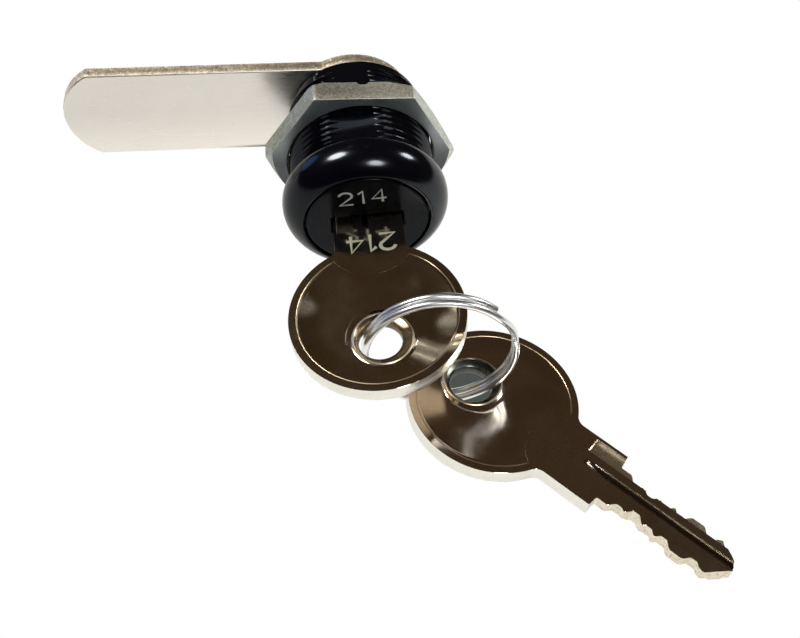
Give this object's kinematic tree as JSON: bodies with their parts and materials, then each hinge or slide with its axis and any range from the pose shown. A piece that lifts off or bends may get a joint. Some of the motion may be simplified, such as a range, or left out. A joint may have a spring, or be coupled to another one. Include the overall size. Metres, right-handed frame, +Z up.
{
  "type": "cam lock",
  "caption": "Round-head wafer cam lock with threaded double-D barrel, hex nut, straight cam, a flat key in the plug and a spare key on a split ring.",
  "frame": {"origin": "at the rear end of the lock's axis, in the floor of the cam screw's cross recess; the head seats on the panel at y = -19.04 mm", "axes": "the lock's axis is Y and the face looks along -Y; +X is right and +Z is up seen from the front; the cam points along -X"},
  "size_m": [0.0779, 0.0717, 0.0234],
  "materials": {
    "black_enamel": "glossy black with a blue cast",
    "plug_black": "semi-gloss black",
    "zinc": "dull zinc plate",
    "cam_nickel": "satin nickel plate with sheared edges",
    "key_nickel": "polished nickel plate",
    "ring_chrome": "bright drawn wire",
    "wafer_brass": "stamped brass",
    "spring_steel": "bright spring steel",
    "screw_zinc": "yellowish zinc plate"
  },
  "bodies": {
    "housing": {"housing": "black_enamel"},
    "mounting_nut": {"mounting_nut": "zinc"},
    "plug": {"plug": "plug_black", "stop_washer": "zinc", "cam": "cam_nickel", "spring_washer": "spring_steel", "cam_screw": "screw_zinc", "wafer_spring_1": "spring_steel", "wafer_spring_2": "spring_steel", "wafer_spring_3": "spring_steel", "wafer_spring_4": "spring_steel", "wafer_spring_5": "spring_steel", "wafer_spring_6": "spring_steel"},
    "key_in_lock": {"key_in_lock": "key_nickel"},
    "split_ring": {"split_ring": "ring_chrome"},
    "spare_key": {"spare_key": "key_nickel"},
    "wafer_1": {"wafer_1": "wafer_brass"},
    "wafer_2": {"wafer_2": "wafer_brass"},
    "wafer_3": {"wafer_3": "wafer_brass"},
    "wafer_4": {"wafer_4": "wafer_brass"},
    "wafer_5": {"wafer_5": "wafer_brass"},
    "wafer_6": {"wafer_6": "wafer_brass"}
  },
  "joints": [
    {"name": "plug_turn", "type": "hinge", "parent": "housing", "child": "plug", "pos_m": [0, -0.01904, 0], "axis": [0, 1, 0], "range_deg": [0, 90]},
    {"name": "key_slide", "type": "slide", "parent": "plug", "child": "key_in_lock", "axis": [0, -1, 0], "range_m": [0, 0.024]},
    {"name": "nut_run", "type": "slide", "parent": "housing", "child": "mounting_nut", "axis": [0, 1, 0], "range_m": [-0.0045, 0.0058]},
    {"name": "ring_spin", "type": "hinge", "parent": "key_in_lock", "child": "split_ring", "pos_m": [0.00733, -0.04241, -0.00276], "axis": [-0.0567, -0.9927, 0.1066], "range_deg": [-170, 170]},
    {"name": "spare_swing", "type": "hinge", "parent": "key_in_lock", "child": "spare_key", "pos_m": [0.00733, -0.04241, -0.00276], "axis": [-0.0567, -0.9927, 0.1066], "range_deg": [-20, 60]},
    {"name": "wafer_1_drop", "type": "slide", "parent": "plug", "child": "wafer_1", "axis": [0.9945, 0, 0.1045], "range_m": [0, 0.0008], "deforming": ["wafer_spring_1"]},
    {"name": "wafer_2_drop", "type": "slide", "parent": "plug", "child": "wafer_2", "axis": [-0.9945, 0, -0.1045], "range_m": [0, 0.0008], "deforming": ["wafer_spring_2"]},
    {"name": "wafer_3_drop", "type": "slide", "parent": "plug", "child": "wafer_3", "axis": [0.9945, 0, 0.1045], "range_m": [0, 0.0008], "deforming": ["wafer_spring_3"]},
    {"name": "wafer_4_drop", "type": "slide", "parent": "plug", "child": "wafer_4", "axis": [-0.9945, 0, -0.1045], "range_m": [0, 0.0008], "deforming": ["wafer_spring_4"]},
    {"name": "wafer_5_drop", "type": "slide", "parent": "plug", "child": "wafer_5", "axis": [0.9945, 0, 0.1045], "range_m": [0, 0.0007], "deforming": ["wafer_spring_5"]},
    {"name": "wafer_6_drop", "type": "slide", "parent": "plug", "child": "wafer_6", "axis": [-0.9945, 0, -0.1045], "range_m": [0, 0.0008], "deforming": ["wafer_spring_6"]}
  ]
}
